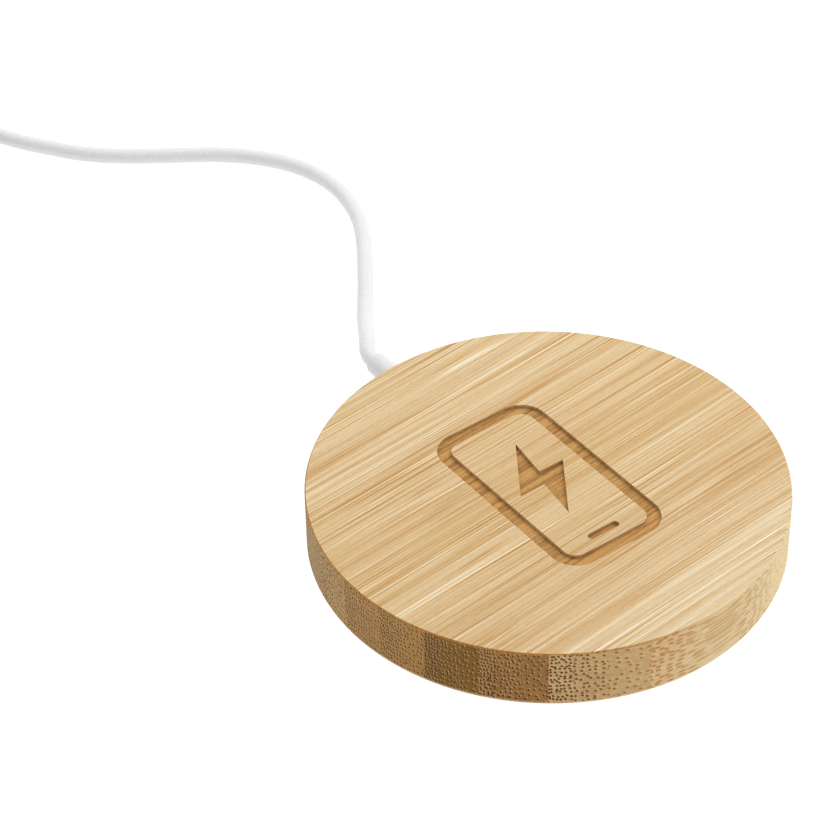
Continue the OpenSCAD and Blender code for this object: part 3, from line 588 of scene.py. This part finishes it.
def cord_points(diameter):
    """The whole cord, from the jacket's end inside the pad to its end inside the plug."""
    radius = diameter / 2
    outer, inner, low, high = coil_sizes(diameter)
    centre = coil_centre(diameter)
    tip = Vector((0, RELIEF_TIP, EXIT_HEIGHT))
    points = [Vector((0, JACKET_INSIDE, EXIT_HEIGHT)), Vector((0, RELIEF_TIP - INSIDE_RELIEF, EXIT_HEIGHT))]
    points += along_route(LEAD, tip, EXIT_HEIGHT, low, radius)
    per_turn = 20
    turns = COIL_TURNS - 0.5
    spiral = round(turns * per_turn)
    crossing = per_turn // 4
    for step in range(1, 2 * spiral + crossing):
        angle = 2 * math.pi * step / per_turn
        if step <= spiral:
            share, height = step / spiral, low
        elif step < spiral + crossing:
            share, rise = 1.0, (step - spiral) / crossing
            height = low + (high - low) * rise * rise * (3 - 2 * rise)
        else:
            share, height = 1 - (step - spiral - crossing) / spiral, high
        reach = outer + (inner - outer) * share
        points.append(centre + Vector((reach * math.cos(angle), reach * math.sin(angle), height)))
    leave = centre + Vector((0, outer, 0))
    points += along_route(TAIL, leave, high, PLUG_HEIGHT, radius)
    boot = plug_place(diameter)
    points += [boot - Vector((0, INSIDE_BOOT, 0)), boot - Vector((0, INSIDE_PLUG, 0))]
    return points


class PAD_OT_cord(bpy.types.Operator):
    """Lays the cord from the pad through its coil to the plug"""
    bl_idname = "pad.cord"
    bl_label = "Cord"

    def execute(self, context):
        settings = context.scene.pad_cord
        points = cord_points(settings.diameter)
        curve = bpy.data.curves.new("cord", "CURVE")
        curve.dimensions = "3D"
        curve.bevel_depth = settings.diameter / 2
        curve.bevel_resolution = 5
        curve.resolution_u = 5
        curve.use_fill_caps = True
        spline = curve.splines.new("BEZIER")
        spline.bezier_points.add(len(points) - 1)
        for knot, point in zip(spline.bezier_points, points):
            knot.co = point
            knot.handle_left_type = knot.handle_right_type = "AUTO"
        curve.materials.append(finish_of("cord_jacket"))
        piece = bpy.data.objects.new("cord", curve)
        context.scene.collection.objects.link(piece)
        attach(piece, "root")
        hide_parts("cord_inner_end", "cord_lead", "cord_coil", "cord_tail", "cord_plug_end")
        return {"FINISHED"}


class PAD_OT_declare_cord(bpy.types.Operator):
    """Does nothing when run"""
    bl_idname = "pad.declare_cord"
    bl_label = "Cord facts"

    def execute(self, context):
        return {"FINISHED"}


# ---- ties ----

def turns_under(angle, diameter):
    """Least and greatest radius of the turns within 15 degrees of an angle."""
    outer = coil_sizes(diameter)[0]
    centre = coil_centre(diameter)
    way = Matrix.Rotation(math.radians(angle), 3, "Z") @ Vector((1, 0, 0))
    spokes = [Vector((point.x - centre.x, point.y - centre.y, 0)) for point in cord_points(diameter)]
    reaches = [spoke.length for spoke in spokes
               if spoke.length < outer + WIND_GAP and spoke.angle(way, math.pi) < math.radians(15)]
    return min(reaches), max(reaches)


def tie(name, angle, diameter, *replaced):
    """One strap round the coil: a loop with rounded corners and a lapped end on top."""
    least, greatest = turns_under(angle, diameter)
    high = coil_sizes(diameter)[3]
    centre = coil_centre(diameter)
    near = least - diameter / 2 - TIE_THICK
    far = greatest + diameter / 2 + TIE_THICK
    tall = high + diameter / 2 + TIE_THICK
    bm = bmesh.new()
    bmesh.ops.create_cube(bm, size=1, matrix=Matrix.Translation(((near + far) / 2, 0, tall / 2))
                          @ Matrix.Diagonal((far - near, TIE_WIDTH, tall, 1)))
    bmesh.ops.delete(bm, geom=[f for f in bm.faces if abs(f.normal.y) > 0.5], context="FACES")
    corners = [e for e in bm.edges if not e.is_boundary]
    bmesh.ops.bevel(bm, geom=corners, offset=1.1 * MM, offset_type="OFFSET", affect="EDGES",
                    segments=6, profile=0.5, material=-1)
    bmesh.ops.solidify(bm, geom=bm.faces, thickness=TIE_THICK)
    # The lapped end lies on the top
    lap_place = Matrix.Translation(((near + far) / 2 + LAP_SHIFT, 0, tall + LAP_HEIGHT / 2))
    lap_size = Matrix.Diagonal((LAP_LENGTH, TIE_WIDTH, LAP_HEIGHT, 1))
    lap = bmesh.ops.create_cube(bm, size=1, matrix=lap_place @ lap_size)
    ends = {e for v in lap["verts"] for e in v.link_edges
            if abs((e.verts[0].co - e.verts[1].co).normalized().z) > 0.9}
    bmesh.ops.bevel(bm, geom=list(ends), offset=0.8 * MM, offset_type="OFFSET", affect="EDGES",
                    segments=5, profile=0.5, material=-1)
    turn = Matrix.Translation(centre) @ Matrix.Rotation(math.radians(angle), 4, "Z")
    bmesh.ops.transform(bm, matrix=turn, verts=bm.verts)
    piece = as_piece(bm, name, "tie_strap", *replaced)
    soften = piece.modifiers.new("soft edges", "BEVEL")
    soften.width = 0.12 * MM
    soften.segments = 2
    soften.limit_method = "ANGLE"
    return piece


class PAD_OT_ties(bpy.types.Operator):
    """Straps that hold the coil"""
    bl_idname = "pad.ties"
    bl_label = "Ties"

    def execute(self, context):
        diameter = context.scene.pad_cord.diameter
        tie("tie_near", TIE_ANGLES[0], diameter, "cord_ties")
        tie("tie_far", TIE_ANGLES[1], diameter)
        return {"FINISHED"}


# ---- plug ----

def to_plug(bm, diameter):
    """Moves a shape drawn along +Y from the boot's tip to where the plug lies."""
    place = Matrix.Translation(plug_place(diameter)) @ Matrix.Rotation(math.pi, 4, "Z")
    bmesh.ops.transform(bm, matrix=place, verts=bm.verts)


def grip_shape(settings):
    """Rounded block with a slight waist and a recess round the metal shell."""
    width, tall, length = settings.grip_width, settings.grip_height, settings.grip_length
    start = settings.boot_length
    bm = bmesh.new()
    bmesh.ops.create_cube(bm, size=1, matrix=Matrix.Translation((0, start + length / 2, 0))
                          @ Matrix.Diagonal((width, length, tall, 1)))
    long_edges = [e for e in bm.edges if abs((e.verts[0].co - e.verts[1].co).normalized().y) > 0.9]
    bmesh.ops.bevel(bm, geom=long_edges, offset=2.2 * MM, offset_type="OFFSET", affect="EDGES",
                    segments=8, profile=0.5, material=-1)
    caps = [f for f in bm.faces if abs(f.normal.y) > 0.9]
    rims = list({e for f in caps for e in f.edges})
    bmesh.ops.bevel(bm, geom=rims, offset=0.7 * MM, offset_type="OFFSET", affect="EDGES",
                    segments=4, profile=0.5, material=-1)
    # Parting line: a fine groove all round, 3 mm behind the front
    for depth in (2.6 * MM, 2.85 * MM, 3.1 * MM):
        bmesh.ops.bisect_plane(bm, geom=bm.verts[:] + bm.edges[:] + bm.faces[:],
                               plane_co=(0, start + length - depth, 0), plane_no=(0, 1, 0), dist=1e-7)
    middle = start + length - 2.85 * MM
    groove = [v for v in bm.verts if abs(v.co.y - middle) < 1e-6]
    bmesh.ops.scale(bm, vec=(1 - 0.24 * MM / width, 1, 1 - 0.24 * MM / tall), verts=groove)
    front = max((f for f in bm.faces if f.normal.y > 0.9), key=lambda f: f.calc_area())
    bmesh.ops.inset_region(bm, faces=[front], thickness=0.7 * MM, depth=0)
    verts = list(front.verts)
    lows = Vector((min(v.co.x for v in verts), 0, min(v.co.z for v in verts)))
    bmesh.ops.scale(bm, vec=(4.3 * MM / -lows.x, 1, 1.36 * MM / -lows.z), verts=verts)
    pushed = bmesh.ops.extrude_face_region(bm, geom=[front])
    inner = [g for g in pushed["geom"] if isinstance(g, bmesh.types.BMVert)]
    bmesh.ops.translate(bm, vec=(0, -0.5 * MM, 0), verts=inner)
    bmesh.ops.delete(bm, geom=[front], context="FACES_ONLY")
    return bm


def boot_shape(settings, cord_radius):
    """Tapered boot with ribs, turned round the cord."""
    length = settings.boot_length
    tip, root = cord_radius + 0.45 * MM, cord_radius + 1.3 * MM
    profile = [(cord_radius, 0.0), (tip - 0.15 * MM, 0.0), (tip, 0.15 * MM)]
    pitch = (length - 2.6 * MM) / settings.ribs
    for rib in range(settings.ribs):
        y = 1.2 * MM + rib * pitch
        reach = tip + (root - tip) * y / length
        profile += [(reach, y), (reach - 0.28 * MM, y + 0.12 * MM),
                    (reach - 0.28 * MM, y + 0.42 * pitch), (reach + 0.03 * MM, y + 0.42 * pitch + 0.12 * MM)]
    profile += [(root - 0.05 * MM, length - 1.2 * MM), (root, length - 0.5 * MM), (root, length),
                (cord_radius, length)]
    bm = bmesh.new()
    verts = [bm.verts.new((r, y, 0)) for r, y in profile]
    edges = [bm.edges.new((verts[i], verts[(i + 1) % len(verts)])) for i in range(len(verts))]
    bmesh.ops.spin(bm, geom=verts + edges, cent=(0, 0, 0), axis=(0, 1, 0), dvec=(0, 0, 0),
                   angle=2 * math.pi, steps=40, use_merge=True)
    return bm


class PAD_OT_plug(bpy.types.Operator):
    """Grip and boot of the USB-C plug"""
    bl_idname = "pad.plug"
    bl_label = "Plug"

    def execute(self, context):
        settings = context.scene.pad_plug
        diameter = context.scene.pad_cord.diameter
        grip = grip_shape(settings)
        to_plug(grip, diameter)
        as_piece(grip, "grip", "plug_housing", "plug_grip")
        boot = boot_shape(settings, diameter / 2)
        to_plug(boot, diameter)
        piece = as_piece(boot, "boot", "white_tpe", "plug_boot")
        soften = piece.modifiers.new("soft edges", "BEVEL")
        soften.width = 0.05 * MM
        soften.segments = 2
        soften.limit_method = "ANGLE"
        dress_slots(("plug_steel", "black_lcp", "gold_contact"))
        return {"FINISHED"}


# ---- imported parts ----

class PAD_OT_bamboo(bpy.types.Operator):
    """Finish of the bamboo case"""
    bl_idname = "pad.bamboo"
    bl_label = "Bamboo case"

    def execute(self, context):
        dress_slots(("bamboo",))
        return {"FINISHED"}


class PAD_OT_base(bpy.types.Operator):
    """Finish of the base plate, anti-slip ring and strain relief"""
    bl_idname = "pad.base"
    bl_label = "Base and strain relief"

    def execute(self, context):
        dress_slots(("white_abs", "silicone", "white_tpe", "cord_jacket", "plug_housing", "tie_strap"))
        return {"FINISHED"}


class PAD_OT_inside(bpy.types.Operator):
    """Finish of the magnets, coil, shield, circuit board and conductors"""
    bl_idname = "pad.inside"
    bl_label = "Inner parts"

    def execute(self, context):
        dress_slots((
            "adhesive", "zinc_steel", "nickel_magnet", "yoke_steel", "litz_copper", "ferrite",
            "foam", "epoxy_bead", "solder", "fr4_board", "moulded_epoxy", "ceramic_chip",
            "core_red", "core_black", "core_green", "core_white",
        ))
        return {"FINISHED"}


# ---- studio ----

def area_light(name, place, target, size, watts, colour):
    """Soft rectangular light that looks at a point."""
    data = bpy.data.lights.new(name, "AREA")
    data.shape = "RECTANGLE"
    data.size, data.size_y = size
    data.energy = watts
    data.color = linear(colour)[:3]
    light = bpy.data.objects.new(name, data)
    light.location = place
    light.rotation_euler = (Vector(target) - Vector(place)).to_track_quat("-Z", "Y").to_euler()
    bpy.context.scene.collection.objects.link(light)
    return light


class PAD_OT_studio(bpy.types.Operator):
    """Floor, lights and camera"""
    bl_idname = "pad.studio"
    bl_label = "Studio"

    def execute(self, context):
        scene = context.scene
        settings = scene.pad_studio
        bm = bmesh.new()
        bmesh.ops.create_grid(bm, x_segments=1, y_segments=1, size=3)
        data = bpy.data.meshes.new("floor")
        bm.to_mesh(data)
        bm.free()
        floor = bpy.data.objects.new("floor", data)
        scene.collection.objects.link(floor)
        # Seamless white studio board, lit from behind so that almost no shadow stays
        material, tree = new_material("studio board, backlit")
        finish_surface(tree, Base_Color=linear("8C8C8C"), Roughness=0.9,
                       Emission_Color=linear(settings.floor), Emission_Strength=0.93)
        data.materials.append(material)

        world = bpy.data.worlds.new("studio")
        world.use_nodes = True
        world.node_tree.nodes.clear()
        glow = add(world.node_tree, "ShaderNodeBackground", Color=linear("F4F6FA"), Strength=0.72)
        add(world.node_tree, "ShaderNodeOutputWorld", Surface=glow)
        scene.world = world

        area_light("key", (0.42, -0.02, 0.5), (0, 0, 0), (0.5, 0.5), 2.5, "FFFCF6")
        area_light("fill", (0.05, 0.5, 0.45), (0, 0.05, 0), (0.6, 0.4), 1.1, "F8FBFF")

        lens = bpy.data.cameras.new("camera")
        lens.lens = settings.lens
        lens.sensor_width = 36
        lens.clip_start = 0.01
        lens.clip_end = 20
        camera = bpy.data.objects.new("camera", lens)
        turn = (Matrix.Rotation(settings.heading, 4, "Z")
                @ Matrix.Rotation(math.pi / 2 - settings.elevation, 4, "X")
                @ Matrix.Rotation(settings.roll, 4, "Z"))
        camera.matrix_world = Matrix.Translation(settings.camera) @ turn
        scene.collection.objects.link(camera)
        scene.camera = camera
        scene.view_settings.view_transform = "Standard"
        return {"FINISHED"}


class PAD_PT_panel(bpy.types.Panel):
    bl_label = "Charging Pad"
    bl_space_type = "VIEW_3D"
    bl_region_type = "UI"
    bl_category = "Charging Pad"

    def draw(self, context):
        for group, operators in PANEL:
            box = self.layout.box()
            settings = getattr(context.scene, group)
            for name in settings.__annotations__:
                box.prop(settings, name)
            for operator in operators:
                box.operator(operator.bl_idname)


PANEL = (
    ("pad_studio", (PAD_OT_studio,)),
    ("pad_cord", (PAD_OT_cord, PAD_OT_ties, PAD_OT_declare_cord)),
    ("pad_plug", (PAD_OT_plug,)),
    ("pad_bamboo", (PAD_OT_bamboo, PAD_OT_base, PAD_OT_inside)),
)
GROUPS = {
    "pad_bamboo": BambooSettings, "pad_cord": CordSettings,
    "pad_plug": PlugSettings, "pad_studio": StudioSettings,
}
CLASSES = (
    *GROUPS.values(), PAD_OT_studio, PAD_OT_cord, PAD_OT_ties, PAD_OT_plug, PAD_OT_declare_cord,
    PAD_OT_bamboo, PAD_OT_base, PAD_OT_inside, PAD_PT_panel,
)


def register():
    for cls in CLASSES:
        bpy.utils.register_class(cls)
    for name, group in GROUPS.items():
        setattr(bpy.types.Scene, name, bpy.props.PointerProperty(type=group))


def unregister():
    for name in GROUPS:
        delattr(bpy.types.Scene, name)
    for cls in reversed(CLASSES):
        bpy.utils.unregister_class(cls)


def main():
    register()
    bpy.ops.pad.studio()
    bpy.ops.pad.cord()
    bpy.ops.pad.ties()
    bpy.ops.pad.plug()
    bpy.ops.pad.bamboo()
    bpy.ops.pad.base()
    bpy.ops.pad.inside()
    bpy.ops.pad.declare_cord()


if __name__ == "__main__":
    main()
